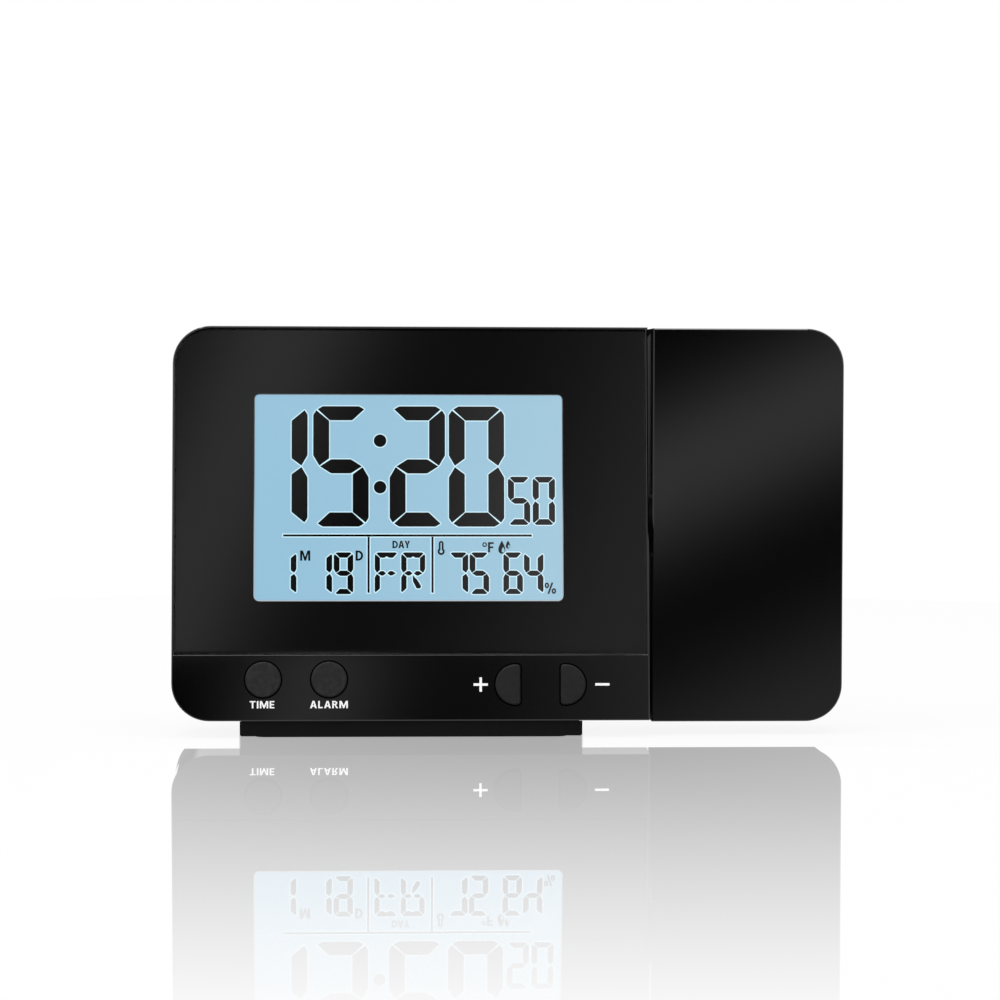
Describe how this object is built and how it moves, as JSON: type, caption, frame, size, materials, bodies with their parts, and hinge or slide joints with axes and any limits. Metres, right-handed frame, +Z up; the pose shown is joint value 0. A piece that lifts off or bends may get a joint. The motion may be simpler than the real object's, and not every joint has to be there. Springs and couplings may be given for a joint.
{
  "type": "projection alarm clock",
  "caption": "Desk alarm clock with a lit display body on a wedge stand and a projector arm that turns beside it to throw the time on a wall or ceiling.",
  "frame": {"origin": "under the middle of the clock's overall box, on the surface it stands on", "axes": "+X to the right seen from the front, +Y from the display to the back, +Z up"},
  "size_m": [0.151, 0.0402, 0.0919],
  "materials": {
    "gloss_case": "polished",
    "matte_case": "fine texture",
    "clear_panel": "polished",
    "mask_print": "satin",
    "lcd": "satin",
    "light_guide": "satin",
    "white_plastic": "satin",
    "board": "solder mask",
    "chip": "epoxy",
    "steel": "plated",
    "brass_spring": "nickel plated",
    "rubber_key": "matte",
    "rubber_pad": "matte",
    "cell_wrap": "printed sleeve",
    "lens": "polished",
    "red_led": "clear red",
    "lead": "satin"
  },
  "bodies": {
    "display_body": {"front_housing": "gloss_case", "rear_housing": "matte_case", "base_pads": "rubber_pad", "front_panel": "clear_panel", "panel_mask": "mask_print", "lcd_glass": "lcd", "backlight_guide": "light_guide", "backlight_leds": "white_plastic", "lcd_frame": "white_plastic", "zebra_strip": "rubber_key", "main_board": "board", "controller_chip": "chip", "quartz_crystal": "steel", "buzzer": "chip", "climate_sensor": "white_plastic", "power_inlet": "steel", "key_switches": "chip", "snooze_switch": "chip", "battery_cells": "cell_wrap", "battery_contacts": "steel", "battery_springs": "brass_spring", "housing_screws": "steel", "board_screws": "steel", "friction_washer": "rubber_pad"},
    "projector_arm": {"arm_front_shell": "gloss_case", "arm_rear_shell": "gloss_case", "pivot_hub": "matte_case", "arm_screws": "steel", "led_board": "board", "projector_led": "red_led", "projector_tube": "matte_case", "condenser_lens": "lens", "projection_film": "chip", "lens_bezel": "matte_case", "projector_lead": "lead"},
    "focus_wheel": {"focus_wheel": "matte_case"},
    "lens_barrel": {"lens_barrel": "matte_case", "objective_lens": "lens"},
    "time_key": {"time_key": "rubber_key", "time_plunger": "white_plastic"},
    "alarm_key": {"alarm_key": "rubber_key", "alarm_plunger": "white_plastic"},
    "plus_key": {"plus_key": "rubber_key", "plus_plunger": "white_plastic"},
    "minus_key": {"minus_key": "rubber_key", "minus_plunger": "white_plastic"},
    "snooze_bar": {"snooze_bar": "matte_case", "snooze_plunger": "white_plastic"},
    "battery_door": {"battery_door": "matte_case"}
  },
  "joints": [
    {"name": "arm_pivot", "type": "hinge", "parent": "display_body", "child": "projector_arm", "pos_m": [0.0319, -0.00443, 0.04676], "axis": [1, 0, 0], "range_deg": [-90, 90]},
    {"name": "focus_turn", "type": "hinge", "parent": "projector_arm", "child": "focus_wheel", "pos_m": [0.05155, -0.00283, 0.07776], "axis": [0, 0, 1], "range_deg": [-150, 150]},
    {"name": "lens_slide", "type": "slide", "parent": "projector_arm", "child": "lens_barrel", "axis": [0, 0, 1], "range_m": [-0.0024, 0.0024]},
    {"name": "snooze_press", "type": "slide", "parent": "display_body", "child": "snooze_bar", "axis": [0, -0.1045, -0.9945], "range_m": [0, 0.0008], "stiffness_N_per_m": 900, "springref_m": -0.0004},
    {"name": "battery_door_hinge", "type": "hinge", "parent": "display_body", "child": "battery_door", "pos_m": [-0.02193, 0.01904, 0.00565], "axis": [-1, 0, 0], "range_deg": [0, 80]},
    {"name": "time_press", "type": "slide", "parent": "display_body", "child": "time_key", "axis": [0, 0.9945, -0.1045], "range_m": [0, 0.0006], "stiffness_N_per_m": 800, "springref_m": -0.0004},
    {"name": "alarm_press", "type": "slide", "parent": "display_body", "child": "alarm_key", "axis": [0, 0.9945, -0.1045], "range_m": [0, 0.0006], "stiffness_N_per_m": 800, "springref_m": -0.0004},
    {"name": "plus_press", "type": "slide", "parent": "display_body", "child": "plus_key", "axis": [0, 0.9945, -0.1045], "range_m": [0, 0.0006], "stiffness_N_per_m": 800, "springref_m": -0.0004},
    {"name": "minus_press", "type": "slide", "parent": "display_body", "child": "minus_key", "axis": [0, 0.9945, -0.1045], "range_m": [0, 0.0006], "stiffness_N_per_m": 800, "springref_m": -0.0004}
  ],
  "couplings": [
    {"joint": "focus_turn", "follows": "lens_slide", "rad_per_m": 1083.3}
  ]
}
